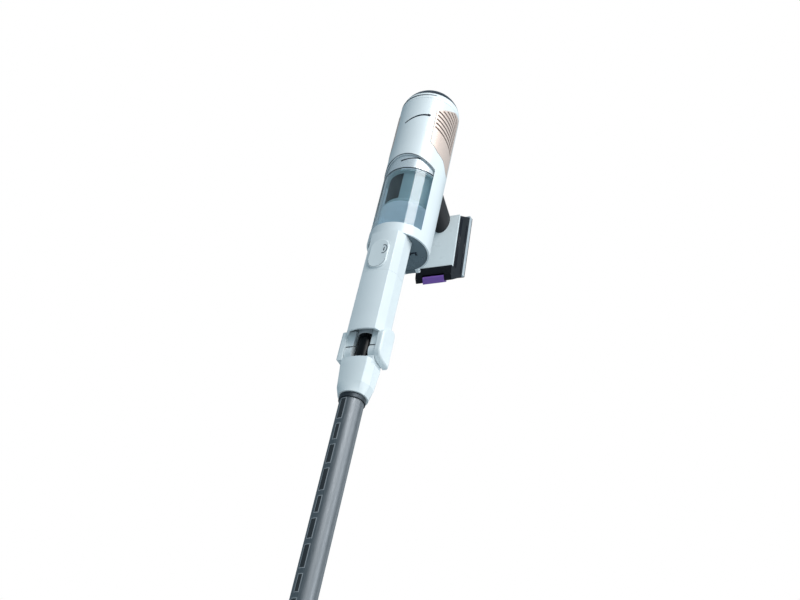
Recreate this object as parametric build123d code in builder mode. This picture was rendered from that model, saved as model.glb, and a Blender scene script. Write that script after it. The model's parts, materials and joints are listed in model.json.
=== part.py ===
# Cordless stick vacuum, standing upright on its floor head, in millimetres.
# Frame: +X right, +Y to the rear, +Z up. The floor is z = 0 and the front is -Y.
# The origin is on the floor under the middle of the bounding box.
from build123d import *
import os
from math import hypot, sqrt

os.makedirs("parts", exist_ok=True)

# ---------------------------------------------------------------- driving dimensions
fit_gap = 0.3            # between pieces on different bodies
seat_gap = 0.2           # between pieces of one body
pin_gap = 0.05           # radial, a pin in its hole

body_y = -16.3           # axis of the handheld
wand_y = body_y - 24.0   # axis of the wand

# levels, from the floor up
sole_z = 4.0
tray_top_z = 27.0
pitch_z = 34.0           # pitch axis of the neck
yoke_top_z = 82.0
tube_bottom_z = 108.0
socket_top_z = 150.0
collar_bottom_z = 574.0
tube_top_z = 602.0
hinge_z = 646.0          # axis of the flex joint
window_bottom_z = hinge_z - 18.0
window_top_z = hinge_z + 28.0
nozzle_bottom_z = 777.0
door_z = 850.0
door_thickness = 4.0
band_top_z = 868.0       # top of the ring under the cup window
cup_top_z = 979.0
arch_side_z = 987.0
arch_top_z = 1005.0
seam_z = 1127.0
rim_z = 1140.0
dome_z = 1128.0          # the top's dome starts here
top_z = 1170.0

# wand and flex joint
wand_width = 57.0
wand_depth = 50.0
wand_wall = 2.6
tube_radius = 17.0
tube_wall = 1.2
knuckle_half_width = 23.7
ear_half_width = 33.5
ear_front = -15.0        # the ear's side view, from the hinge axis
ear_back = 18.0
ear_drop = 15.5
ear_fillet = 14.0
shoulder_drop = 25.0     # from the hinge axis down to the knuckle's full width
drum_radius = 13.0
drum_gap = 1.0           # between the knuckle's drums and the upper cheeks
hose_radius = 12.0
cheek_inner_x = 13.0
hinge_pin_radius = 4.0

# handheld
shell_radius = 47.0
shell_bore = 44.4
cup_radius = 44.0
cup_bore = 42.0
panel_radius = 47.5
window_half_chord = 42.9
shroud_radius = 36.0
motor_radius = 34.0
shaft_radius = 3.0

# grip, dock and battery
grip_root = (body_y + 40.0, 1027.0)
grip_foot = (body_y + 112.0, 997.0)
grip_half_width = 14.5
grip_half_height = 19.0
grip_wall = 2.6
dock_half_width = 30.5
dock_top = (body_y + 105.5, 1007.0)
dock_foot = (body_y + 115.0, 912.0)
cell_radius = 9.15
cell_length = 65.0

# floor head
head_half_width = 122.0
head_front_y = -137.0
head_rear_y = 2.0
head_height = 60.0
cap_thickness = 5.0
brush_y = -100.0
brush_z = 25.5
brush_core_radius = 14.0
brush_radius = 22.5
brush_half_length = 100.0
pulley_x = 102.0
pulley_width = 6.0
brush_pulley_radius = 10.0
motor_pulley_radius = 7.0
head_motor_y = -52.0
head_motor_z = 31.0
wheel_radius = 19.0
wheel_y = 22.5
axle_radius = 3.0
bay_half_width = 34.0
bay_front_y = wand_y - 27.0
yoke_radius = 24.0


def save(piece, name):
    """Label a finished piece and write its STEP file."""
    piece.label = name
    export_step(piece, f"parts/{name}.step")


def ring(outer, inner, low, high, centre_y=body_y):
    """A ring, pipe or disc standing on the line x = 0, y = centre_y."""
    with BuildPart(mode=Mode.PRIVATE) as piece:
        with BuildSketch(Plane((0, centre_y, low))):
            Circle(outer)
            if inner > 0:
                Circle(inner, mode=Mode.SUBTRACT)
        extrude(amount=high - low)
    return piece.part


def cross_bar(radius, start_x, end_x, y, z, bore=0.0):
    """A round bar or bush along X."""
    with BuildPart(mode=Mode.PRIVATE) as piece:
        with BuildSketch(Plane((start_x, y, z), x_dir=(0, 1, 0), z_dir=(1, 0, 0))):
            Circle(radius)
            if bore > 0:
                Circle(bore, mode=Mode.SUBTRACT)
        extrude(amount=end_x - start_x)
    return piece.part


def block(x0, x1, y0, y1, z0, z1):
    """A box between two corners."""
    middle = Pos((x0 + x1) / 2, (y0 + y1) / 2, (z0 + z1) / 2)
    return middle * Box(x1 - x0, y1 - y0, z1 - z0, mode=Mode.PRIVATE)


def side_prism(points, x0, x1, corner=0.0):
    """A side view drawn in Y and Z, given its width along X."""
    with BuildPart(mode=Mode.PRIVATE) as piece:
        with BuildSketch(Plane.YZ.offset(x0)) as view:
            with BuildLine():
                Polyline(*points, close=True)
            make_face()
            if corner > 0:
                fillet(view.vertices(), corner)
        extrude(amount=x1 - x0)
    return piece.part


def wand_outline(inset=0.0):
    """The wand's section: a bowed front face, a crease each side, flat flanks, a rounded back."""
    front = -wand_depth / 2 + inset
    back = wand_depth / 2 - inset
    side = wand_width / 2 - inset
    with BuildSketch(mode=Mode.PRIVATE) as outline:
        with BuildLine():
            ThreePointArc((-side + 7, front + 3.2), (0, front), (side - 7, front + 3.2))
            Polyline(
                (side - 7, front + 3.2),
                (side, front + 15),
                (side, back - 14),
                (side - 12, back),
                (-side + 12, back),
                (-side, back - 14),
                (-side, front + 15),
                (-side + 7, front + 3.2),
            )
        make_face()
        creases = outline.vertices().sort_by(Axis.Y)
        fillet(creases[2:], 5)
        fillet(outline.vertices().sort_by(Axis.Y)[:2], 2)
    return outline.sketch


def wand_prism(low, high, inset=0.0):
    """A straight length of the wand's section."""
    with BuildPart(mode=Mode.PRIVATE) as piece:
        with BuildSketch(Plane((0, wand_y, low))):
            add(wand_outline(inset))
        extrude(amount=high - low)
    return piece.part


def pill(half_width, low, high, front_y, back_y):
    """A pill-shaped block seen from the front."""
    with BuildPart(mode=Mode.PRIVATE) as piece:
        with BuildSketch(Plane((0, back_y, (low + high) / 2), x_dir=(1, 0, 0), z_dir=(0, -1, 0))):
            SlotOverall(high - low, 2 * half_width, rotation=90)
        extrude(amount=back_y - front_y)
    return piece.part


# ---------------------------------------------------------------- floor head shells
def head_outline(inset=0.0):
    """The cover's side view: an upright nose, a low roof and a back that falls away."""
    low = 20.0
    with BuildSketch(mode=Mode.PRIVATE) as outline:
        with BuildLine():
            Polyline(
                (head_front_y + inset, low),
                (head_front_y + inset, 42),
                (head_front_y + 24, head_height - 3 - inset),
                (head_front_y + 60, head_height - inset),
                (wand_y, head_height - inset),
                (head_rear_y - inset, 42 - inset),
                (head_rear_y - inset, low),
                close=True,
            )
        make_face()
        fillet(outline.vertices().filter_by(lambda corner: corner.Y > low + 1), 8 - inset)
    return outline.sketch


with BuildPart() as head_cover:
    with BuildSketch(Plane.YZ.offset(-head_half_width)):
        add(head_outline())
    extrude(amount=2 * head_half_width)
    with BuildSketch(Plane.YZ.offset(-head_half_width + 2.5)):
        add(head_outline(2.6))
    extrude(amount=2 * head_half_width - 5, mode=Mode.SUBTRACT)
    add(block(-150, 150, -200, 60, 0, tray_top_z + seat_gap), mode=Mode.SUBTRACT)
    add(block(-bay_half_width, bay_half_width, bay_front_y, 60, 0, 90), mode=Mode.SUBTRACT)
    add(block(-60, 60, head_front_y - 5, head_front_y + 5, 31, 40), mode=Mode.SUBTRACT)
save(head_cover.part, "head_cover")

arm_xs = (40.0, 68.0)
screw_spots = [(-92, -18), (-54, -18), (54, -18), (92, -18)]

with BuildPart() as head_base:
    add(block(-head_half_width, head_half_width, head_front_y, head_rear_y, sole_z, tray_top_z))
    add(
        block(
            -head_half_width + 3, head_half_width - 3, head_front_y + 3, head_rear_y - 3,
            sole_z + 3, tray_top_z + 5,
        ),
        mode=Mode.SUBTRACT,
    )
    # suction mouth under the brush, and the chamber wall behind it
    add(block(-111, 111, brush_y - 25, brush_y + 26, 0, 10), mode=Mode.SUBTRACT)
    add(block(-99, 99, brush_y + 26, brush_y + 28, sole_z, tray_top_z))
    # open bay that the neck lies back through
    add(block(-bay_half_width, bay_half_width, bay_front_y, 60, 0, 60), mode=Mode.SUBTRACT)
    for side in (-1, 1):
        for arm_x in arm_xs:
            middle = side * arm_x
            add(block(middle - 2, middle + 2, -6, wheel_y + 10, 9, tray_top_z))
        cheek = side * (bay_half_width + 3)
        add(block(cheek - 3, cheek + 3, wand_y - 14, wand_y + 14, sole_z, pitch_z + 12))
        add(block(cheek - 3, cheek + 3, bay_front_y, head_rear_y, sole_z, tray_top_z))
    for x, y in screw_spots:
        add(Pos(x, y, (sole_z + 22) / 2) * Cylinder(4.5, 22 - sole_z, mode=Mode.PRIVATE))
    for x, y in screw_spots:
        add(Pos(x, y, 13) * Cylinder(2.1, 30, mode=Mode.PRIVATE), mode=Mode.SUBTRACT)
        add(Pos(x, y, sole_z + 1) * Cylinder(4.0, 2.2, mode=Mode.PRIVATE), mode=Mode.SUBTRACT)
    add(cross_bar(hinge_pin_radius + pin_gap, -45, 45, wand_y, pitch_z), mode=Mode.SUBTRACT)
    add(cross_bar(axle_radius + pin_gap, -75, 75, wheel_y, wheel_radius), mode=Mode.SUBTRACT)
    # bearing blocks of the brush, one at each end wall
    add(block(-119, -103, brush_y - 9, brush_y + 9, 10, brush_z + 9))
    add(block(108.6, 119, brush_y - 9, brush_y + 9, 10, brush_z + 9))
    add(cross_bar(axle_radius + pin_gap, -116, 116, brush_y, brush_z), mode=Mode.SUBTRACT)
save(head_base.part, "head_base")

with BuildPart() as head_screws:
    for x, y in screw_spots:
        add(Pos(x, y, sole_z + 1.2) * Cylinder(3.8, 1.6, mode=Mode.PRIVATE))
        add(Pos(x, y, sole_z + 9) * Cylinder(1.9, 14.4, mode=Mode.PRIVATE))
save(head_screws.part, "head_screws")

for name, side in (("head_end_cap_left", -1), ("head_end_cap_right", 1)):
    with BuildPart() as end_cap:
        with BuildSketch(Plane.YZ.offset(side * (head_half_width + seat_gap))):
            add(head_outline())
        extrude(amount=side * (cap_thickness - seat_gap))
        add(block(-150, 150, -200, 60, 0, sole_z + 17.5), mode=Mode.SUBTRACT)
        outer_face = end_cap.faces().sort_by(Axis.X)[-1 if side > 0 else 0]
        fillet(outer_face.edges(), 2)
    save(end_cap.part, name)

with BuildPart() as front_bumper:
    add(block(-118, 118, head_front_y - 7, head_front_y - seat_gap, 14, 27))
    fillet(front_bumper.edges().filter_by(Axis.X).sort_by(Axis.Y)[:2], 4)
    fillet(front_bumper.edges().filter_by(Axis.Z).sort_by(Axis.Y)[:2], 4)
save(front_bumper.part, "front_bumper")

with BuildPart() as headlight_lens:
    add(block(-59.8, 59.8, head_front_y - 0.4, head_front_y + 2.2, 31.2, 39.8))
    fillet(headlight_lens.edges().filter_by(Axis.Y), 1.5)
save(headlight_lens.part, "headlight_lens")

with BuildPart() as glide_pads:
    for side in (-1, 1):
        add(block(side * 90 - 14, side * 90 + 14, head_front_y + 1.5, head_front_y + 8.5, 0, sole_z))
    fillet(glide_pads.edges().filter_by(Axis.Z), 2)
save(glide_pads.part, "glide_pads")

# ---------------------------------------------------------------- brush, belt and head motor
with BuildPart() as brush_core:
    add(cross_bar(brush_core_radius, -brush_half_length, brush_half_length, brush_y, brush_z))
    add(cross_bar(axle_radius, -112, 112, brush_y, brush_z))
save(brush_core.part, "brush_core")

with BuildPart() as brush_strips:
    with BuildSketch(Plane((-brush_half_length + 2, brush_y, brush_z), x_dir=(0, 1, 0), z_dir=(1, 0, 0))):
        with PolarLocations(0, 6):
            with Locations((0, (brush_core_radius + brush_radius + 0.1) / 2)):
                Rectangle(3, brush_radius - brush_core_radius - 0.1)
    extrude(amount=2 * brush_half_length - 4)
save(brush_strips.part, "brush_strips")

with BuildPart() as brush_pulley:
    pulley_end_x = pulley_x + pulley_width
    add(cross_bar(brush_pulley_radius, pulley_x, pulley_end_x, brush_y, brush_z, axle_radius + 0.02))
save(brush_pulley.part, "brush_pulley")

with BuildPart() as motor_pulley:
    add(cross_bar(motor_pulley_radius, pulley_x, pulley_x + pulley_width, head_motor_y, head_motor_z))
    add(cross_bar(2.5, 97.5, pulley_x + 1, head_motor_y, head_motor_z))
save(motor_pulley.part, "motor_pulley")


def belt_face(extra):
    """The belt's loop round both pulleys, seen along X."""
    with BuildSketch(mode=Mode.PRIVATE) as loop:
        with Locations((brush_y, brush_z)):
            Circle(brush_pulley_radius + extra)
        with Locations((head_motor_y, head_motor_z)):
            Circle(motor_pulley_radius + extra)
        make_hull()
    return loop.sketch


with BuildPart() as drive_belt:
    with BuildSketch(Plane.YZ.offset(pulley_x + 0.5)):
        add(belt_face(fit_gap + 1.4))
        add(belt_face(fit_gap), mode=Mode.SUBTRACT)
    extrude(amount=pulley_width - 1)
save(drive_belt.part, "drive_belt")

with BuildPart() as head_motor:
    add(cross_bar(14, 46, 97, head_motor_y, head_motor_z))
    fillet(head_motor.edges().filter_by(GeomType.CIRCLE), 2)
save(head_motor.part, "head_motor")

# ---------------------------------------------------------------- rear wheels
wheel_inner_x = arm_xs[0] + 2 + fit_gap
wheel_outer_x = arm_xs[1] - 2 - fit_gap
for name, side in (("wheel_left", -1), ("wheel_right", 1)):
    low_x, high_x = sorted((side * wheel_inner_x, side * wheel_outer_x))
    with BuildPart() as wheel:
        add(cross_bar(wheel_radius, low_x, high_x, wheel_y, wheel_radius, axle_radius + pin_gap))
        fillet(wheel.edges().filter_by(GeomType.CIRCLE).group_by(SortBy.RADIUS)[-1], 2.5)
    save(wheel.part, name)

with BuildPart() as head_pins:
    for side in (-1, 1):
        low_x, high_x = sorted((side * 37.5, side * 71))
        add(cross_bar(axle_radius, low_x, high_x, wheel_y, wheel_radius))
        low_x, high_x = sorted((side * 22, side * 39.5))
        add(cross_bar(hinge_pin_radius, low_x, high_x, wand_y, pitch_z))
save(head_pins.part, "head_pins")

# ---------------------------------------------------------------- neck
with BuildPart() as neck_yoke:
    add(cross_bar(yoke_radius, -33.5, 33.5, wand_y, pitch_z))
    with BuildSketch(Plane((0, wand_y, pitch_z))):
        Circle(22)
    extrude(amount=yoke_top_z - pitch_z)
    add(cross_bar(19, -21, 21, wand_y, pitch_z), mode=Mode.SUBTRACT)
    with BuildSketch(Plane((0, wand_y, pitch_z))):
        Circle(17)
    extrude(amount=60, mode=Mode.SUBTRACT)
    add(block(-14, 14, wand_y - 30, wand_y - 10, pitch_z - 9, pitch_z + 9), mode=Mode.SUBTRACT)
    add(cross_bar(hinge_pin_radius + pin_gap, -40, 40, wand_y, pitch_z), mode=Mode.SUBTRACT)
save(neck_yoke.part, "neck_yoke")

button_low_z, button_high_z = 116.0, 142.0
with BuildPart() as neck_socket:
    with BuildSketch(Plane((0, wand_y, yoke_top_z + fit_gap))):
        Circle(22)
    with BuildSketch(Plane((0, wand_y, 100))):
        Circle(24.5)
    loft()
    with BuildSketch(Plane((0, wand_y, 100))):
        Circle(24.5)
    extrude(amount=socket_top_z - 100)
    with BuildSketch(Plane((0, wand_y, 62))):
        Circle(17 - pin_gap)
    extrude(amount=25)
    with BuildSketch(Plane((0, wand_y, 50))):
        Circle(14)
    extrude(amount=60, mode=Mode.SUBTRACT)
    with BuildSketch(Plane((0, wand_y, tube_bottom_z))):
        Circle(tube_radius + seat_gap)
    extrude(amount=60, mode=Mode.SUBTRACT)
    add(pill(8.3, button_low_z - 0.3, button_high_z + 0.3, wand_y - 40, wand_y - 18.2), mode=Mode.SUBTRACT)
    fillet(neck_socket.edges().filter_by(GeomType.CIRCLE).sort_by(Axis.Z)[-1], 1.2)
save(neck_socket.part, "neck_socket")

with BuildPart() as head_release_button:
    add(pill(8, button_low_z, button_high_z, wand_y - 26.5, wand_y - 21.2))
    fillet(head_release_button.faces().sort_by(Axis.Y)[0].edges(), 1.2)
save(head_release_button.part, "head_release_button")

# ---------------------------------------------------------------- lower wand
save(ring(tube_radius, tube_radius - tube_wall, tube_bottom_z, tube_top_z, wand_y), "wand_tube")
save(ring(18.6, tube_radius + 0.15, collar_bottom_z - 7, collar_bottom_z - 0.1, wand_y), "tube_collar_ring")

shoulder_z = hinge_z - shoulder_drop
with BuildPart() as lower_knuckle:
    with BuildSketch(Plane((0, wand_y, collar_bottom_z))):
        Circle(21.0)
    with BuildSketch(Plane((0, wand_y, collar_bottom_z + 15))):
        add(wand_outline(3.5))
    loft()
    with BuildSketch(Plane((0, wand_y, collar_bottom_z + 15))):
        add(wand_outline(3.5))
    with BuildSketch(Plane((0, wand_y, shoulder_z))):
        add(wand_outline(1.5))
    loft()
    add(
        wand_prism(shoulder_z, window_bottom_z, 1.5)
        & block(-knuckle_half_width, knuckle_half_width, wand_y - 60, wand_y + 60, 0, 900)
    )
    for side in (-1, 1):
        low_x, high_x = sorted((side * cheek_inner_x, side * knuckle_half_width))
        add(cross_bar(drum_radius, low_x, high_x, wand_y, hinge_z))
        add(block(low_x, high_x, wand_y - drum_radius, wand_y + drum_radius, shoulder_z, hinge_z - 11.4))
        add(block(low_x, high_x, wand_y - 8.3, wand_y + drum_radius, shoulder_z, hinge_z))
    add(ring(tube_radius + seat_gap, 0, 560, tube_top_z + seat_gap, wand_y), mode=Mode.SUBTRACT)
    add(ring(hose_radius + seat_gap, 0, 590, 640, wand_y), mode=Mode.SUBTRACT)
    add(
        cross_bar(hinge_pin_radius + pin_gap, -40, 40, wand_y, hinge_z),
        mode=Mode.SUBTRACT,
    )
save(lower_knuckle.part, "lower_knuckle")

with BuildPart() as flex_pins:
    for side in (-1, 1):
        low_x, high_x = sorted((side * (cheek_inner_x + 0.3), side * 30.5))
        add(cross_bar(hinge_pin_radius, low_x, high_x, wand_y, hinge_z))
save(flex_pins.part, "flex_pins")

save(ring(hose_radius, hose_radius - 1.6, tube_top_z + 6, hinge_z + 46, wand_y), "flex_hose")

# ---------------------------------------------------------------- upper wand
flex_button_z = window_top_z + 38.0
with BuildPart() as upper_wand:
    add(wand_prism(window_top_z, nozzle_bottom_z - seat_gap))
    for side in (-1, 1):
        low_x, high_x = sorted((side * (knuckle_half_width + 0.6), side * ear_half_width))
        with BuildSketch(Plane.YZ.offset(low_x)) as ear_view:
            with BuildLine():
                Polyline(
                    (wand_y + ear_front, hinge_z - ear_drop),
                    (wand_y + ear_back, hinge_z - ear_drop),
                    (wand_y + ear_back, hinge_z + 50),
                    (wand_y + ear_front, hinge_z + 31),
                    close=True,
                )
            make_face()
            corners = ear_view.vertices().sort_by(Axis.Z)
            fillet(corners[:2], ear_fillet)
            fillet(ear_view.vertices().sort_by(Axis.Z)[-1], 8)
        extrude(amount=high_x - low_x)
    rims = upper_wand.faces().filter_by(Axis.X)
    fillet(rims.sort_by(Axis.X)[0].edges() + rims.sort_by(Axis.X)[-1].edges(), 4)
    add(wand_prism(window_top_z - 5, nozzle_bottom_z + 5, wand_wall), mode=Mode.SUBTRACT)
    # inner cheeks that hang between the ears, over the knuckle's drums
    for side in (-1, 1):
        low_x, high_x = sorted((side * cheek_inner_x, side * (knuckle_half_width + 1)))
        add(block(low_x, high_x, wand_y - 11, wand_y + 13, hinge_z + 6, window_top_z + 6))
    drum_half_width = knuckle_half_width + 0.6
    add(
        cross_bar(drum_radius + drum_gap, -drum_half_width, drum_half_width, wand_y, hinge_z),
        mode=Mode.SUBTRACT,
    )
    for side in (-1, 1):
        low_x, high_x = sorted((side * 20, side * 31))
        add(
            cross_bar(hinge_pin_radius + pin_gap, low_x, high_x, wand_y, hinge_z),
            mode=Mode.SUBTRACT,
        )
    add(
        block(-9.3, 9.3, wand_y + 20, wand_y + 40, flex_button_z - 11.3, flex_button_z + 11.3),
        mode=Mode.SUBTRACT,
    )
save(upper_wand.part, "upper_wand")

with BuildPart() as hose_cuff:
    add(ring(14.0, hose_radius + 0.25, hinge_z + 29, hinge_z + 50, wand_y))
    add(ring(20, 14.0, hinge_z + 46, hinge_z + 50, wand_y))
    add(block(-20, -12.8, wand_y - 20, wand_y + 20, hinge_z + 20, window_top_z + 6.2), mode=Mode.SUBTRACT)
    add(block(12.8, 20, wand_y - 20, wand_y + 20, hinge_z + 20, window_top_z + 6.2), mode=Mode.SUBTRACT)
save(hose_cuff.part, "hose_cuff")

with BuildPart() as flex_lock_button:
    add(block(-9, 9, wand_y + 20.8, wand_y + 27.3, flex_button_z - 11, flex_button_z + 11))
    fillet(flex_lock_button.edges().filter_by(Axis.Y), 3)
    fillet(flex_lock_button.faces().sort_by(Axis.Y)[-1].edges(), 1)
save(flex_lock_button.part, "flex_lock_button")

# ---------------------------------------------------------------- nozzle
pill_low_z, pill_high_z = 780.0, 832.0
with BuildPart() as nozzle:
    add(wand_prism(nozzle_bottom_z, door_z - seat_gap))
    add(wand_prism(nozzle_bottom_z - 5, door_z - 4, wand_wall), mode=Mode.SUBTRACT)
    add(
        ring(cup_radius - 0.2, 0, door_z - 3, door_z + door_thickness)
        & wand_prism(door_z - 4, door_z + door_thickness + 1)
    )
    add(ring(17 + seat_gap, 0, 700, 900, wand_y), mode=Mode.SUBTRACT)
    add(pill(15.3, pill_low_z - 0.3, pill_high_z + 0.3, wand_y - 40, wand_y - 20), mode=Mode.SUBTRACT)
save(nozzle.part, "nozzle")

save(ring(17, 15.4, nozzle_bottom_z + 0.1, band_top_z + 3, wand_y), "inlet_duct")

with BuildPart() as wand_release_button:
    add(pill(15, pill_low_z, pill_high_z, wand_y - 26.8, wand_y - 20.4))
    fillet(wand_release_button.faces().sort_by(Axis.Y)[0].edges(), 1.5)
save(wand_release_button.part, "wand_release_button")

# ---------------------------------------------------------------- main shell and side panels
front_view = Plane.XZ.offset(-body_y)
handheld_axis = Axis((0, body_y, 0), (0, 0, 1))
door_hinge_y = body_y + 49.5
door_hinge_z = door_z + door_thickness / 2
door_pin_radius = 1.5


panel_corners = (
    (-35.0, 1105.0), (-21.0, 1114.0), (-5.0, 1124.0), (14.0, 1124.0),
    (14.0, 1002.0), (4.0, 1005.0), (-8.0, 1017.0), (-22.0, 1023.0), (-34.0, 1036.0),
)
panel_middle = (-8.0, 1064.0)


def panel_view(margin=0.0):
    """A side panel seen along X: its top rises to the rear and its foot runs down to a tail."""
    points = []
    for depth, level in panel_corners:
        out_y = margin if depth > panel_middle[0] else -margin
        out_z = margin if level > panel_middle[1] else -margin
        points.append((body_y + depth + out_y, level + out_z))
    return points


with BuildPart() as main_shell:
    add(ring(shell_radius, shell_bore, door_z, seam_z - seat_gap))
    # window over the dust cup, closed by an arch
    with BuildSketch(front_view):
        with BuildLine():
            ThreePointArc(
                (-window_half_chord, arch_side_z), (0, arch_top_z), (window_half_chord, arch_side_z)
            )
            Polyline(
                (window_half_chord, arch_side_z),
                (window_half_chord, band_top_z),
                (-window_half_chord, band_top_z),
                (-window_half_chord, arch_side_z),
            )
        make_face()
    extrude(amount=60, mode=Mode.SUBTRACT)
    for side in (-1, 1):
        low_x, high_x = sorted((side * 5, side * 60))
        add(side_prism(panel_view(seat_gap), low_x, high_x), mode=Mode.SUBTRACT)
    # notch and lugs of the door's hinge
    add(block(-8.5, 8.5, body_y + 38, body_y + 60, door_z - 1, door_z + 6), mode=Mode.SUBTRACT)
    for side in (-1, 1):
        low_x, high_x = sorted((side * 8.5, side * 13.5))
        add(block(low_x, high_x, body_y + 45.2, body_y + 49.5, door_z, door_z + 8))
        add(cross_bar(3.2, low_x, high_x, door_hinge_y, door_hinge_z))
    add(cross_bar(door_pin_radius + pin_gap, -20, 20, door_hinge_y, door_hinge_z), mode=Mode.SUBTRACT)
save(main_shell.part, "main_shell")

slot_pitch = 8.4
slot_width = 3.6
slot_slope = 0.62        # drop per millimetre towards the rear
slot_count = 9
first_slot_z = 1072.0
for name, side in (("side_panel_left", -1), ("side_panel_right", 1)):
    low_x, high_x = sorted((side * 5, side * 60))
    with BuildPart() as side_panel:
        add(ring(panel_radius, shell_bore + 0.1, 990, 1125) & side_prism(panel_view(), low_x, high_x))
        front = body_y - 33
        back = body_y + 9
        frame_view = [
            (front, 1000), (back, 1000), (back, 1122),
            (body_y - 5, 1122), (body_y - 21, 1112), (front, 1103.4),
        ]
        with BuildSketch(Plane.YZ.offset(low_x)):
            with BuildLine():
                Polyline(*frame_view, close=True)
            make_face()
            with BuildSketch(mode=Mode.PRIVATE) as slats:
                for count in range(slot_count):
                    start_z = first_slot_z + count * slot_pitch
                    end_z = start_z - slot_slope * (back + 10 - front)
                    with BuildLine():
                        Polyline(
                            (front - 1, start_z),
                            (back + 9, end_z),
                            (back + 9, end_z - slot_width),
                            (front - 1, start_z - slot_width),
                            close=True,
                        )
                    make_face()
            add(slats.sketch, mode=Mode.INTERSECT)
        extrude(amount=high_x - low_x, mode=Mode.SUBTRACT)
    save(side_panel.part, name)

with BuildPart() as rear_spine:
    add(
        ring(49.5, shell_radius + seat_gap, 988, 1092)
        & block(-19, 19, body_y, body_y + 60, 900, 1200)
    )
    fillet(rear_spine.edges().filter_by(Axis.Y), 2)
save(rear_spine.part, "rear_spine")

# ---------------------------------------------------------------- dust cup, shroud and door
save(ring(cup_radius, cup_bore, door_z + door_thickness + 1.2, cup_top_z), "dust_cup")
save(ring(cup_radius, cup_bore, cup_top_z + seat_gap, 1006), "cup_trim_band")

with BuildPart() as shroud_mesh:
    with BuildSketch(front_view):
        with BuildLine():
            Polyline(
                (shroud_radius + 3, 916),
                (shroud_radius + 3, 918),
                (shroud_radius, 924),
                (shroud_radius, 974),
                (cup_bore - 0.3, 974),
                (cup_bore - 0.3, 977),
                (shroud_radius - 1.6, 977),
                (shroud_radius - 1.6, 923),
                (shroud_radius + 1.2, 916),
                close=True,
            )
        make_face()
    revolve(axis=handheld_axis)
save(shroud_mesh.part, "shroud_mesh")

with BuildPart() as separator_cone:
    with BuildSketch(front_view):
        with BuildLine():
            Polyline((9, 922), (27, 965), (27, 998), (25.4, 998), (25.4, 965.4), (7.4, 922), close=True)
        make_face()
    revolve(axis=handheld_axis)
save(separator_cone.part, "separator_cone")

with BuildPart() as cup_door:
    add(ring(cup_radius - 0.2, 0, door_z, door_z + door_thickness))
    add(wand_prism(800, 900, -0.5), mode=Mode.SUBTRACT)
    add(block(-8, 8, body_y + 40, door_hinge_y, door_z + 0.2, door_z + door_thickness))
    add(cross_bar(2.9, -8, 8, door_hinge_y, door_hinge_z))
    add(cross_bar(door_pin_radius + pin_gap, -20, 20, door_hinge_y, door_hinge_z), mode=Mode.SUBTRACT)
    # rails that the latch slides between
    for side in (-1, 1):
        low_x, high_x = sorted((side * 8.4, side * 10.4))
        add(block(low_x, high_x, body_y + 3, body_y + 18, door_z - 3, door_z))
save(cup_door.part, "cup_door")

with BuildPart() as door_seal:
    add(ring(cup_radius - 0.5, 41, door_z + door_thickness, door_z + door_thickness + 0.9))
    add(wand_prism(800, 900, -0.8), mode=Mode.SUBTRACT)
save(door_seal.part, "door_seal")

save(cross_bar(door_pin_radius, -13, 13, door_hinge_y, door_hinge_z), "door_hinge_pin")

with BuildPart() as door_latch:
    add(block(-8, 8, body_y + 1.8, body_y + 12, door_z - 2.8, door_z - 0.3))
    add(block(-6, 6, body_y + 8.5, body_y + 11.5, door_z - 5.5, door_z - 2.8))
save(door_latch.part, "door_latch")

# ---------------------------------------------------------------- filters, motor and electronics
save(ring(40, 6, 1007, 1021), "pre_filter")

with BuildPart() as motor_mount:
    add(ring(43.8, 0, 1023, 1026))
    add(ring(43.8, 41.6, 1026, 1097))
    add(ring(26, 0, 1020, 1030), mode=Mode.SUBTRACT)
save(motor_mount.part, "motor_mount")

with BuildPart() as motor_can:
    add(ring(motor_radius, motor_radius - 2, 1026.2, 1082))
    for plate_z in (1027, 1078):
        add(ring(motor_radius - 1, shaft_radius + pin_gap, plate_z, plate_z + 3))
    with BuildSketch(Plane((0, body_y, 1020))):
        with PolarLocations(22, 8):
            Circle(5)
    extrude(amount=80, mode=Mode.SUBTRACT)
save(motor_can.part, "motor_can")

with BuildPart() as impeller_rotor:
    add(ring(shaft_radius, 0, 1027.5, 1080))
    add(ring(9, 0, 1052, 1074))
    with BuildSketch(Plane((0, body_y, 1032))):
        Circle(28)
    with BuildSketch(Plane((0, body_y, 1046))):
        Circle(9)
    loft()
save(impeller_rotor.part, "impeller_rotor")

save(ring(27, 11, 1051, 1075), "motor_stator")
save(ring(42, 12, 1099, 1121), "post_filter")


def dome_radius(level, inset=0.0):
    """The top dome's radius at a level."""
    rise = (level - dome_z) / (top_z - inset - dome_z)
    return (shell_radius - 0.2 - inset) * sqrt(1 - rise * rise)


def dome_slice(low, high, inset=0.0):
    """The dome's solid between two levels, or the same with its skin taken off."""
    steps = 12
    levels = [low + (high - low) * count / steps for count in range(steps + 1)]
    edge = [(dome_radius(level, inset), level) for level in levels]
    with BuildPart(mode=Mode.PRIVATE) as piece:
        with BuildSketch(front_view):
            with BuildLine():
                Spline(*edge)
                if edge[-1][0] > 0.01:
                    Line(edge[-1], (0, high))
                Line((0, high), (0, low))
                Line((0, low), edge[0])
            make_face()
        revolve(axis=handheld_axis)
    return piece.part


with BuildPart() as filter_ring:
    add(ring(shell_radius - 0.2, 43.0, seam_z + 0.5, dome_z))
    add(dome_slice(dome_z, rim_z - seat_gap))
    add(dome_slice(dome_z, rim_z, 3.8), mode=Mode.SUBTRACT)
    add(ring(43.0, 0, dome_z - 2, dome_z + 0.5), mode=Mode.SUBTRACT)
save(filter_ring.part, "filter_ring")

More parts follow.
